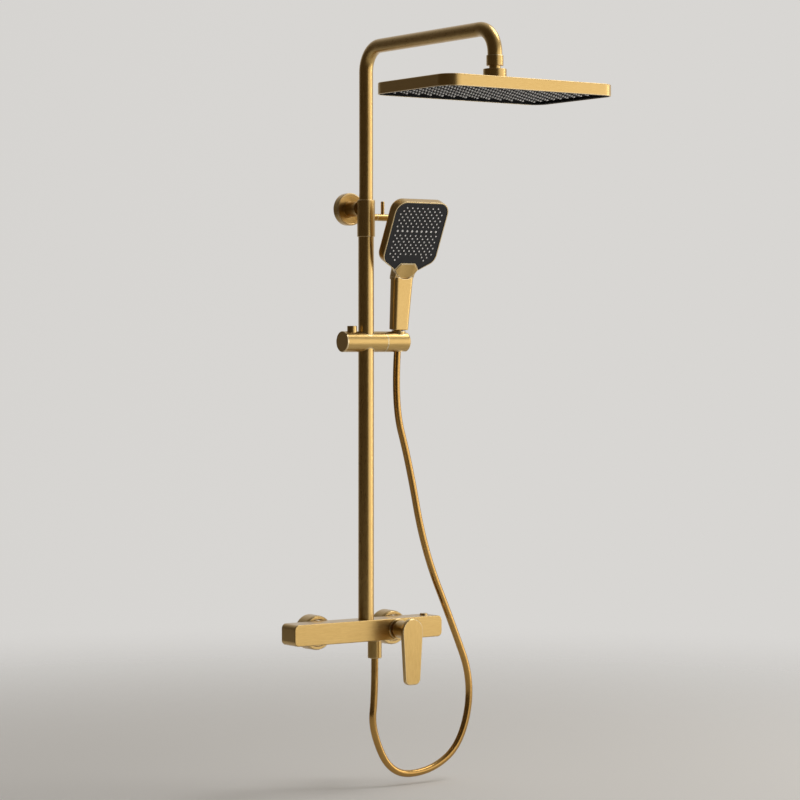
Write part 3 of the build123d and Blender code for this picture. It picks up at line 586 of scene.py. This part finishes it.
@dataclass
class Stretch:
    """One stretch of the hose and the bodies it joins."""

    name: str
    low_body: str
    high_body: str
    lean: Triple = (0.0, 0.0, 1.0)
    foot_mm: Triple | None = None
    nodes: tuple[str, ...] = ()


@dataclass
class Hose:
    """The hand shower's hose: one smooth line from its cone nut, round the loop, to the outlet."""

    radius: float = 6.0 * MM
    sides: int = 30
    seam: float = 2.0 * MM
    # The film's real pitch is about 1.2 mm. It is drawn twice as wide, so that it shows.
    winding: float = 2.4 * MM
    steps: int = 40
    # A cord is at least this many diameters long.
    cord_diameters: float = 6.0
    route_mm: tuple[Triple, ...] = (
        (64, -55.380, 463.585),
        (64, -45.972, 374.078),
        (94, -45, 280),
        (124, -47, 130),
        (181, -50, 1),
        (221, -53, -99),
        (198, -53, -201),
        (135, -53, -243),
        (53, -53, -243),
        (13, -53, -163),
        (20, -53, -107),
        (20, -53, -45),
    )
    breaks_mm: Triple = (456.0, 440.0, 385.0)

    def stretches(self) -> list[Stretch]:
        """Lists the stretches from the hand shower down to the outlet.

        Returns:
            The stretches, each reaching across one joint, and the last, which stays still.
        """
        return [
            Stretch("hose_at_hand_shower", "holder", "handset"),
            Stretch("hose_at_holder", "slider", "holder"),
            Stretch("hose_at_slider", "carriage", "slider", lean=(0.0, -0.4, 1.0)),
            Stretch(
                "hose_falling_leg",
                "wall_fixture",
                "carriage",
                lean=(-3.66, 0.0, 1.0),
                foot_mm=(184, -47, 187),
            ),
            Stretch("hose_rising_leg", "wall_fixture", "wall_fixture", nodes=("hose_lower_nut",)),
        ]

    def line(self) -> Line:
        """Reads the route's smooth line.

        Returns:
            Points along the NURBS spline, from the hand shower to the outlet.
        """
        curve = bpy.data.curves.new("hose_route", "CURVE")
        curve.dimensions = "3D"
        spline = curve.splines.new("NURBS")
        spline.points.add(len(self.route_mm) - 1)
        for point, place in zip(spline.points, self.route_mm):
            point.co = (*[c * MM for c in place], 1.0)
        spline.order_u = 3
        spline.use_endpoint_u = True
        spline.resolution_u = self.steps
        carrier = bpy.data.objects.new("hose_route", curve)
        bare = bpy.data.meshes.new_from_object(carrier)
        points = [v.co.copy() for v in bare.vertices]
        bpy.data.meshes.remove(bare)
        bpy.data.objects.remove(carrier)
        bpy.data.curves.remove(curve)
        return points

    def cuts(self, points: Line) -> list[int]:
        """Finds where the hose is cut: at the set heights and at the loop's lowest point.

        Args:
            points: The whole hose's line.

        Returns:
            Each stretch's first point, and the whole line's last.
        """
        found = [0]
        for height in self.breaks_mm:
            found.append(next(i for i, p in enumerate(points) if p.z <= height * MM))
        lowest = min(range(len(points)), key=lambda i: points[i].z)
        return found + [lowest, len(points) - 1]

    def tube(self, name: str, points: Line, start: float, finish: Material) -> Object:
        """Sweeps the hose's round section along a line.

        Args:
            name: The piece's name.
            points: The line that the tube follows.
            start: How far along the whole hose the line begins, in metres.
            finish: The hose's material.

        Returns:
            The tube with its round and along coordinates.
        """
        built = bmesh.new()
        rings = sweep(built, points, self.radius, self.sides)
        spans = [start]
        for one, two in zip(points, points[1:]):
            spans.append(spans[-1] + (two - one).length)
        layer = built.loops.layers.uv.new("round_along")
        for i, (low, high) in enumerate(zip(rings, rings[1:])):
            for k, face in enumerate(bridge(built, low, high)):
                marks = ((k, i), (k + 1, i), (k + 1, i + 1), (k, i + 1))
                for loop, (turn, row) in zip(face.loops, marks):
                    loop[layer].uv = (turn / self.sides, spans[row] / self.winding)
        return mesh_object(name, built, finish)

    def declare(self, piece: Object, stretch: Stretch, run: float) -> None:
        """Hides the plain hose, and fixes a stretch to its body when both its ends ride on the same
        one; other stretches are baked in place.

        Args:
            piece: The stretch's tube.
            stretch: The stretch's bodies and bend.
            run: The stretch's length in metres.
        """
        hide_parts("hose")
        if stretch.low_body == stretch.high_body:
            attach(piece, stretch.low_body)
        else:
            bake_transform(piece)
        # The stretches under the holder are too short to be declared; the two legs are declared.
        if run < self.cord_diameters * 2 * self.radius:
            return

    def build(self, finish: Material) -> list[Object]:
        """Builds the hose in stretches that each reach across one joint.

        Args:
            finish: The hose's material.

        Returns:
            The stretches from the hand shower down to the outlet.
        """
        points = self.line()
        cuts = self.cuts(points)
        made = []
        along = 0.0
        for stretch, first, last in zip(self.stretches(), cuts, cuts[1:]):
            line = points[first : last + 1]
            run = sum((b - a).length for a, b in zip(line, line[1:]))
            piece = self.tube(stretch.name, line, along, finish)
            self.declare(piece, stretch, run)
            LOG.info("%s: %.0f mm of hose", piece.name, run / MM)
            made.append(piece)
            along += run
        return made


@dataclass
class SprayNozzles:
    """Silicone spray nozzles in a plate: tapered tips with a rounded lip and a dimpled jet hole."""

    name: str
    node: str
    body: str
    spots_mm: list[Triple]
    place: Matrix
    proud_mm: float
    root_mm: float
    sides: int = 18

    def profile(self, radius: float) -> Profile:
        """Draws one nozzle from its root behind the plate to the bottom of its jet hole.

        Args:
            radius: The nozzle's radius in the plate, in millimetres.

        Returns:
            Radius and height pairs in metres; height 0 is the plate's front.
        """
        tip = self.proud_mm
        shape = [
            (0.0, -self.root_mm),
            (radius, -self.root_mm),
            (radius, 0.15 * tip),
            (radius * 0.95, 0.55 * tip),
            (radius * 0.86, 0.86 * tip),
            (radius * 0.74, 0.97 * tip),
            (radius * 0.58, tip),
            (radius * 0.36, 0.98 * tip),
            (radius * 0.24, 0.88 * tip),
            (radius * 0.20, 0.55 * tip),
            (0.0, 0.55 * tip),
        ]
        return [(r * MM, h * MM) for r, h in shape]

    def build(self, finish: Material) -> Object:
        """Builds all the nozzles as one piece.

        Args:
            finish: The silicone.

        Returns:
            The piece, riding on its body in place of the plain nozzles.
        """
        built = bmesh.new()
        for px, py, radius in self.spots_mm:
            spot = self.place @ Matrix.Translation((px * MM, py * MM, 0))
            lathe(built, self.profile(radius), self.sides, spot)
        bmesh.ops.recalc_face_normals(built, faces=built.faces)
        piece = mesh_object(self.name, built, finish)
        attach(piece, self.body)
        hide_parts(self.node)
        LOG.info("%s: %d nozzles", self.name, len(self.spots_mm))
        return piece


@dataclass
class RainHead:
    """The overhead spray plate's nozzle field."""

    centre_y_mm: float = -411.5
    plate_mm: float = 862.4
    pitch_mm: float = 22.5
    row_mm: float = 8.5
    columns: int = 13
    rows: int = 19
    small_mm: float = 1.6
    large_mm: float = 2.0
    proud_mm: float = 2.2
    root_mm: float = 2.4

    def spots(self) -> list[Triple]:
        """Lays out the staggered rows, with larger nozzles round the rim.

        Returns:
            Each nozzle's place on the plate, seen from below, and its radius, in millimetres.
        """
        found = []
        for j in range(self.rows):
            count = self.columns - j % 2
            py = (j - (self.rows - 1) / 2) * self.row_mm
            for i in range(count):
                ends = count == self.columns and i in (0, count - 1)
                radius = self.large_mm if ends or j in (0, self.rows - 1) else self.small_mm
                found.append(((i - (count - 1) / 2) * self.pitch_mm, -py, radius))
        return found

    def build(self, finish: Material) -> Object:
        """Builds the rain head's nozzles.

        Args:
            finish: The silicone.

        Returns:
            The nozzle piece.
        """
        place = Matrix.Translation((0, self.centre_y_mm * MM, self.plate_mm * MM))
        flip = Matrix.Diagonal((1, -1, -1, 1))
        nozzles = SprayNozzles(
            name="rain_head_nozzles",
            node="head_nozzles",
            body="rain_head",
            spots_mm=self.spots(),
            place=place @ flip,
            proud_mm=self.proud_mm,
            root_mm=self.root_mm,
        )
        return nozzles.build(finish)


@dataclass
class HandShower:
    """The hand shower's face and its nozzle field."""

    pivot_mm: Triple = (64.0, -57.0, 479.0)
    tilt_deg: float = 6.0
    bend_deg: float = 19.5
    bend_mm: float = 106.0
    face_set_mm: float = 7.0
    face_height_mm: float = 137.0
    sink_mm: float = 0.6
    pitch_mm: float = 10.3
    row_mm: float = 5.5
    first_mm: float = 10.9
    upper: tuple[int, ...] = (7, 8, 9, 8, 9, 8, 9)
    small_mm: float = 1.4
    large_mm: float = 1.89
    middle_count: int = 9
    middle_squeeze: float = 0.93
    middle_down_mm: float = 8.0
    under_down_mm: float = 16.0
    # The six nozzles in the lower corners: pitches from the middle, and rows below the last.
    corners: tuple[tuple[float, int], ...] = ((3.3, 1), (2.3, 1), (2.8, 2))
    proud_mm: float = 0.9
    root_mm: float = 2.3

    def row(self, count: int, pitch: float, down: float, radius: float) -> list[Triple]:
        """Spaces one level row of nozzles about the middle.

        Args:
            count: How many nozzles it has.
            pitch: How far apart they are.
            down: How far the row lies below the face's top.
            radius: Their radius.

        Returns:
            Each nozzle's place and radius, in millimetres.
        """
        return [((i - (count - 1) / 2) * pitch, down, radius) for i in range(count)]

    def spots(self) -> list[Triple]:
        """Lays out the rows of small nozzles and the larger middle row.

        Returns:
            Each nozzle's place on the face and its radius, in millimetres.
        """
        rows = [(self.first_mm + i * self.row_mm, n) for i, n in enumerate(self.upper)]
        low = rows[-1][0]
        under = low + self.under_down_mm
        rows += [(under + i * self.row_mm, n) for i, n in enumerate(reversed(self.upper[1:]))]
        last = rows[-1][0] + self.row_mm
        rows.append((last, max(self.upper)))
        found = []
        for down, count in rows:
            found += self.row(count, self.pitch_mm, down, self.small_mm)
        for side in (-1, 1):
            for across, down in self.corners:
                spot = (side * across * self.pitch_mm, last + down * self.row_mm, self.small_mm)
                found.append(spot)
        pitch = self.pitch_mm * self.middle_squeeze
        found += self.row(self.middle_count, pitch, low + self.middle_down_mm, self.large_mm)
        return [(px, self.face_height_mm - down, r) for px, down, r in found]

    def face(self) -> Matrix:
        """Finds the face plate's front plane.

        Returns:
            The plane's matrix in the shared frame, looking outward along its Z.
        """
        bend = math.radians(self.bend_deg)
        plane = Matrix(
            (
                (1, 0, 0, 0),
                (0, -math.sin(bend), -math.cos(bend), -self.face_set_mm * MM),
                (0, math.cos(bend), -math.sin(bend), self.bend_mm * MM),
                (0, 0, 0, 1),
            )
        )
        held = Matrix.Translation([c * MM for c in self.pivot_mm])
        held = held @ Matrix.Rotation(math.radians(self.tilt_deg), 4, "X")
        return held @ plane @ Matrix.Translation((0, 0, -self.sink_mm * MM))

    def build(self, finish: Material) -> Object:
        """Builds the hand shower's nozzles.

        Args:
            finish: The silicone.

        Returns:
            The nozzle piece.
        """
        nozzles = SprayNozzles(
            name="hand_shower_nozzles",
            node="handset_nozzles",
            body="handset",
            spots_mm=self.spots(),
            place=self.face(),
            proud_mm=self.proud_mm,
            root_mm=self.root_mm,
        )
        return nozzles.build(finish)


@dataclass
class InletUnions:
    """The two eccentric unions behind the bar, with a cut pipe thread on each tail."""

    pitch_mm: float = 150.0
    tail_mm: float = 21.99
    crest_mm: float = 10.4775
    thread_mm: float = 1.814
    depth_mm: float = 1.16
    flank: float = 2.5
    run_in_mm: float = 2.0
    chamfer_mm: float = 1.4
    rows_per_turn: int = 10
    ways: int = 6
    way_mm: float = 1.9
    way_ring_mm: float = 4.6
    way_end_mm: float = -5.9
    way_sides: int = 24
    eccentric_mm: float = 3.0
    sides: int = 64

    def bodies(self) -> list[tuple[float, Profile]]:
        """Lists the two stepped bodies that each union has in front of the wall.

        Returns:
            Each body's rise above the tail's axis and its profile, in millimetres.
        """
        flange = [(7.6, -0.02), (13.4, -0.02), (14, -0.6), (14, -9.4), (13.4, -10), (7.6, -10)]
        neck = [(7.5, -10), (13.2, -10), (13.2, -21.4), (12.6, -22), (7.5, -22)]
        return [
            (self.eccentric_mm / 2, flange + flange[:1]),
            (self.eccentric_mm, neck + neck[:1]),
        ]

    def thread_radius(self, height: float, turn: float) -> float:
        """Finds the thread's radius at one point of the tail.

        Args:
            height: How far the point is from the wall plane, in millimetres.
            turn: How far round the tail it is, in turns.

        Returns:
            The radius in millimetres.
        """
        phase = (height / self.thread_mm - turn) % 1.0
        slope = self.flank / 2 - self.flank * abs(phase - 0.5)
        cut = self.depth_mm * min(1.0, max(0.0, slope))
        fade = min(1.0, height / self.run_in_mm)
        lead = max(0.0, self.chamfer_mm - (self.tail_mm - height))
        return min(self.crest_mm - cut * fade, self.crest_mm - lead)

    def thread(self, built: BMesh, place: Matrix) -> None:
        """Cuts the helical thread from the wall plane to the tail's chamfered mouth.

        Args:
            built: The mesh that takes the faces.
            place: The matrix that takes the tail's axis, along Z, to its place.
        """
        rows = int(self.tail_mm / self.thread_mm * self.rows_per_turn)
        rings = []
        for row in range(rows + 1):
            height = self.tail_mm * row / rows
            ring = []
            for i in range(self.sides):
                turn = i / self.sides
                angle = 2 * math.pi * turn
                radius = self.thread_radius(height, turn) * MM
                spot = Vector((radius * math.cos(angle), radius * math.sin(angle), height * MM))
                ring.append(built.verts.new(place @ spot))
            rings.append(ring)
        for low, high in zip(rings, rings[1:]):
            bridge(built, low, high)
        self.mouth(built, rings[-1], place)

    def mouth(self, built: BMesh, rim: Ring, place: Matrix) -> None:
        """Closes the tail's mouth round its drilled waterways.

        Args:
            built: The mesh that takes the faces.
            rim: The thread's last ring.
            place: The matrix that takes the tail's axis, along Z, to its place.
        """
        edges = [built.edges.get((one, two)) for one, two in zip(rim, rim[1:] + rim[:1])]
        for middle in circle(self.way_ring_mm, self.ways, 0):
            walls = []
            for height in (self.tail_mm, self.way_end_mm):
                points = circle(self.way_mm, self.way_sides, height)
                walls.append([built.verts.new(place @ ((middle + p) * MM)) for p in points])
            lip, end = walls
            bridge(built, lip, end)
            edges += [built.edges.get((one, two)) for one, two in zip(lip, lip[1:] + lip[:1])]
        bmesh.ops.triangle_fill(built, use_beauty=True, edges=edges)

    def build(self, finish: Material) -> Object:
        """Builds both unions as one piece.

        Args:
            finish: The bare brass.

        Returns:
            The piece, in place of the plain unions.
        """
        built = bmesh.new()
        back = Matrix.Rotation(math.radians(-90), 4, "X")
        for side in (-1, 1):
            x = side * self.pitch_mm / 2
            self.thread(built, Matrix.Translation((x * MM, 0, 0)) @ back)
            for lift, shape in self.bodies():
                place = Matrix.Translation((x * MM, 0, lift * MM)) @ back
                lathe(built, [(r * MM, h * MM) for r, h in shape], self.sides, place)
        bmesh.ops.recalc_face_normals(built, faces=built.faces)
        piece = mesh_object("inlet_unions_threaded", built, finish)
        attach(piece, "wall_fixture")
        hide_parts("inlet_unions")
        LOG.info("%s: two threaded tails", piece.name)
        return piece


@dataclass
class Finishes:
    """All the finishes, and which node takes which."""

    gold_light: str = "#CCAB6A"
    gold_deep: str = "#BA9856"
    made: dict[str, Material] = field(default_factory=dict)

    def brushed(self, name: str, grain: Grain, smooth: float, rough: float) -> Material:
        """Makes brushed gold for one direction of brushing.

        Args:
            name: The material's name.
            grain: The way the marks run.
            smooth: The lowest roughness.
            rough: The highest roughness.

        Returns:
            The material.
        """
        tones = (self.gold_light, self.gold_deep)
        return BrushedGold(name, *tones, smooth, rough, grain=grain).make()

    def golds(self) -> dict[str, Material]:
        """Makes the gold finishes.

        Returns:
            The materials by finish key.
        """
        return {
            # Brass tube brushed along its length and coated: a broad soft highlight down each tube.
            "tube": self.brushed("brushed_gold_brass_tube", Grain.BENT, 0.26, 0.34),
            # Extruded brass bar brushed end to end: fine level lines on its faces.
            "bar": self.brushed("brushed_gold_brass_bar", Grain.ACROSS, 0.28, 0.37),
            # Forged brass lever, nuts and pins brushed up and down: fine upright lines.
            "lever": self.brushed("brushed_gold_brass_forging", Grain.UPWARD, 0.27, 0.36),
            # Turned brass flanges brushed towards the wall: a soft highlight on each round side.
            "turned": self.brushed("brushed_gold_turned_brass", Grain.INWARD, 0.26, 0.35),
            # Pressed brass sheet of the rain head, brushed along its long side: broad and calm.
            "sheet": self.brushed("brushed_gold_pressed_sheet", Grain.ACROSS, 0.29, 0.38),
            # ABS, plated gold and brushed along the handle: a little softer than the brass.
            "plated": self.brushed("brushed_gold_plated_abs", Grain.UPWARD, 0.29, 0.38),
            # Clear PVC over wound gold film: a satin tube with faint slanting lines.
            "gold_hose": HoseSkin("gold_film_pvc_hose", "#C59C58", "#A67F40", 0.14, 0.22).make(),
        }

    def plains(self) -> dict[str, Material]:
        """Makes the plastic, rubber, bare metal and ceramic finishes.

        Returns:
            The materials by finish key.
        """
        kinds = {
            # Moulded ABS with a spark eroded grain: satin, near black, even.
            "dark_plastic": Moulded(
                "charcoal_moulded_abs", "#343436", "#29292B", 0.56, 0.68, grain_mm=0.5, gloss=0.22
            ),
            # The rain head's plate: the same ABS with a deeper grain, coloured blacker than the
            # rest as painted shade on the head's underside, and matt.
            "dark_rain_plate": Moulded(
                "black_abs_with_painted_shade", "#262627", "#1C1C1D", 0.7, 0.82,
                grain_mm=0.9, relief_mm=0.04, gloss=0.06,
            ),
            # Moulded silicone rubber: soft, slightly see-through at its lips.
            "light_silicone": Moulded(
                "pale_moulded_silicone", "#FEFEFD", "#F6F6F5", 0.38, 0.5,
                grain_mm=0.8, cloud_mm=12.0, relief_mm=0.01, ior=1.41, scatter=0.03,
            ),
            # Bare machined brass: yellow, with a fine even grain.
            "raw_brass": Moulded(
                "machined_bare_brass", "#D9B566", "#B98F46", 0.22, 0.36,
                grain_mm=0.4, cloud_mm=14.0, metallic=1.0,
            ),
            # Bright drawn steel: cool grey, nearly smooth.
            "steel": Moulded(
                "bright_drawn_steel", "#CFD1D3", "#A9ACAF", 0.2, 0.32,
                grain_mm=0.5, cloud_mm=10.0, relief_mm=0.01, metallic=1.0,
            ),
            # Moulded EPDM rubber: matt black with a dusty bloom.
            "black_rubber": Moulded(
                "black_moulded_epdm", "#2B2B2C", "#1B1B1C", 0.6, 0.75,
                grain_mm=0.7, cloud_mm=9.0, relief_mm=0.03,
            ),
            # Moulded nylon: milky white, satin.
            "white_nylon": Moulded(
                "milky_moulded_nylon", "#ECEBE6", "#DEDCD5", 0.4, 0.5,
                cloud_mm=20.0, relief_mm=0.015, ior=1.53, scatter=0.05,
            ),
            # Lapped alumina discs: hard, bright, faintly warm.
            "ceramic": Moulded(
                "lapped_alumina", "#F1EEE6", "#E3DFD5", 0.1, 0.2,
                grain_mm=0.5, cloud_mm=16.0, relief_mm=0.005, ior=1.76,
            ),
        }
        return {key: kind.make() for key, kind in kinds.items()}

    def build(self) -> None:
        """Makes every finish."""
        self.made = self.golds() | self.plains()

    def node_finishes(self) -> dict[str, str]:
        """Lists the nodes whose finish isn't their slot's.

        Returns:
            Node name to finish key.
        """
        groups = {
            "tube": [
                "upper_tube", "lower_riser", "riser_collar", "arm_nut", "ball_flange_nut",
                "head_ball",
            ],
            "bar": ["mixer_casing", "slider_body", "slider_end_cap", "holder", "clamp_screw"],
            "lever": [
                "lever", "clamp_pin", "hose_lower_nut", "hose_cone_nut", "slider_button",
                "diverter_button", "diverter_bush",
            ],
            "turned": [
                "wall_flange_left", "wall_flange_right", "bracket_flange", "bracket_sleeve",
                "lever_base_ring",
            ],
            # The underside plate takes the ABS darkened with painted shade.
            "dark_rain_plate": ["head_face"],
        }
        return {node: key for key, nodes in groups.items() for node in nodes}

    def dress(self, nodes: dict[str, Object]) -> None:
        """Puts its finish on every node of the frame.

        Args:
            nodes: The frame's nodes by name.
        """
        own = self.node_finishes()
        slots = {"head_gold": "sheet", "gold_plated_plastic": "plated", "brushed_gold": "lever"}
        for name, node in nodes.items():
            for i, old in enumerate(node.data.materials):
                slot = old.name.split(".")[0]
                node.data.materials[i] = self.made[own.get(name, slots.get(slot, slot))]
            LOG.info("%s: %s", name, node.data.materials[0].name)


@dataclass(frozen=True)
class Lamp:
    """A soft rectangular lamp: where it hangs, its size in metres, its power and its colour."""

    name: str
    place: Triple
    wide: float
    tall: float
    watts: float
    tone: str

    def hang(self, aim: Triple) -> None:
        """Hangs the lamp.

        Args:
            aim: The point that it faces.
        """
        data = bpy.data.lights.new(self.name, "AREA")
        data.shape = "RECTANGLE"
        data.size = self.wide
        data.size_y = self.tall
        data.energy = self.watts
        data.color = linear(self.tone)[:3]
        made = bpy.data.objects.new(self.name, data)
        made.location = self.place
        facing = Vector(aim) - Vector(self.place)
        made.rotation_euler = facing.to_track_quat("-Z", "Y").to_euler()
        bpy.context.scene.collection.objects.link(made)


@dataclass
class Studio:
    """The camera at the photograph's angle, a pale floor and soft light."""

    eye: Triple = (-2.461, -3.696, 0.4725)
    yaw_deg: float = 34.8
    lens_mm: float = 119.7
    sensor_mm: float = 36.0
    rise: float = -0.068
    view_end: float = 60.0
    floor_drop: float = 0.012
    floor_half: float = 6.0
    floor_near: float = 0.5
    floor_far: float = 2.6
    floor_tone: str = "#EDEBE7"
    pale_tone: str = "#D8D6D3"
    dim_tone: str = "#4A4136"
    pale_side: Triple = (0.97, 0.2425, 0.0)
    dim_end: float = -0.5
    pale_end: float = 0.75
    aim: Triple = (0.0, -0.15, 0.4)
    lamps: tuple[Lamp, ...] = (
        Lamp("key_right", (1.6, -2.7, 0.6), 3.6, 2.3, 26.0, "#FFFBF5"),
        Lamp("strip_right", (2.38, -1.2, 0.7), 0.5, 2.0, 11.0, "#FFFBF5"),
        Lamp("top_soft", (1.25, -0.45, 2.45), 1.2, 1.2, 17.0, "#FFFFFF"),
    )

    def camera(self) -> None:
        """Sets the camera at the photograph's angle."""
        data = bpy.data.cameras.new("front_left_camera")
        data.lens = self.lens_mm
        data.sensor_width = self.sensor_mm
        data.shift_y = self.rise
        data.clip_end = self.view_end
        made = bpy.data.objects.new("front_left_camera", data)
        made.location = self.eye
        made.rotation_euler = (math.radians(90), 0, math.radians(-self.yaw_deg))
        bpy.context.scene.collection.objects.link(made)
        bpy.context.scene.camera = made

    def floor_paint(self) -> Material:
        """Makes the floor's pale matt paint, which gives a soft shade under the hose's loop.

        Returns:
            The paint. It thins out with distance, so that the floor runs into the backdrop with
            no line.
        """
        material = bpy.data.materials.new("pale_painted_floor")
        material.use_nodes = True
        tree = material.node_tree
        tree.nodes.clear()
        shader = add(
            tree,
            "ShaderNodeBsdfPrincipled",
            {"Base Color": linear(self.floor_tone), "Roughness": 0.8, "Specular IOR Level": 0.2},
        )
        where = add(tree, "ShaderNodeTexCoord")
        away = add(tree, "ShaderNodeVectorMath", {0: where.outputs["Object"]}, operation="LENGTH")
        fade = add(
            tree,
            "ShaderNodeMapRange",
            {0: away.outputs["Value"], 1: self.floor_near, 2: self.floor_far},
            interpolation_type="SMOOTHSTEP",
        )
        clear = add(tree, "ShaderNodeBsdfTransparent")
        both = add(
            tree,
            "ShaderNodeMixShader",
            {0: fade.outputs[0], 1: shader.outputs[0], 2: clear.outputs[0]},
        )
        add(tree, "ShaderNodeOutputMaterial", {"Surface": both.outputs[0]})
        return material

    def floor(self) -> None:
        """Lays the pale floor under the hose's loop."""
        low = CAD_BOX[0].z - self.floor_drop
        r = self.floor_half
        mesh = bpy.data.meshes.new("studio_floor")
        corners = [(-r, -r, low), (r, -r, low), (r, r, low), (-r, r, low)]
        mesh.from_pydata(corners, [], [(0, 1, 2, 3)])
        mesh.materials.append(self.floor_paint())
        made = bpy.data.objects.new("studio_floor", mesh)
        bpy.context.scene.collection.objects.link(made)

    def light(self) -> None:
        """Lights the column softly from its right and front, as in the photograph."""
        world = bpy.data.worlds.new("pale_studio")
        bpy.context.scene.world = world
        world.use_nodes = True
        tree = world.node_tree
        tree.nodes.clear()
        where = add(tree, "ShaderNodeTexCoord")
        side = add(
            tree,
            "ShaderNodeVectorMath",
            {0: where.outputs["Generated"], 1: self.pale_side},
            operation="DOT_PRODUCT",
        )
        turn = add(
            tree,
            "ShaderNodeMapRange",
            {0: side.outputs["Value"], 1: self.dim_end, 2: self.pale_end},
            interpolation_type="SMOOTHSTEP",
        )
        tone = add(
            tree,
            "ShaderNodeMix",
            {0: turn.outputs[0], 6: linear(self.dim_tone), 7: linear(self.pale_tone)},
            data_type="RGBA",
        )
        sky = add(tree, "ShaderNodeBackground", {"Color": tone.outputs[2], "Strength": 1.0})
        add(tree, "ShaderNodeOutputWorld", {"Surface": sky.outputs[0]})
        for lamp in self.lamps:
            lamp.hang(self.aim)

    def build(self) -> None:
        """Sets up the whole studio."""
        self.camera()
        self.floor()
        self.light()
        bpy.context.scene.view_settings.view_transform = "Standard"


def springs() -> list[Spring]:
    """Lists the springs under the slider's and the diverter's buttons.

    Returns:
        The two springs.
    """
    release = Spring(
        name="release_spring",
        node="slider_spring",
        low_body="slider",
        high_body="release",
        foot_mm=(-28, -57, 480),
        height_mm=17,
        coil_mm=4.8,
        wire_mm=0.5,
        turns=6,
    )
    valve = Spring(
        name="diverter_valve_spring",
        node="diverter_spring",
        low_body="wall_fixture",
        high_body="diverter",
        foot_mm=(120, -52, 12),
        height_mm=8,
        coil_mm=4.2,
        wire_mm=0.4,
        turns=5,
    )
    return [release, valve]


def main() -> None:
    """Builds the studio and the detailed pieces, and dresses every node."""
    logging.basicConfig(level=logging.INFO, format="%(name)s: %(message)s")
    Studio().build()
    finishes = Finishes()
    finishes.build()
    finishes.dress(frame["nodes"])
    Hose().build(finishes.made["gold_hose"])
    RainHead().build(finishes.made["light_silicone"])
    HandShower().build(finishes.made["light_silicone"])
    InletUnions().build(finishes.made["raw_brass"])
    for spring in springs():
        spring.build(finishes.made["steel"])


if __name__ == "__main__":
    main()
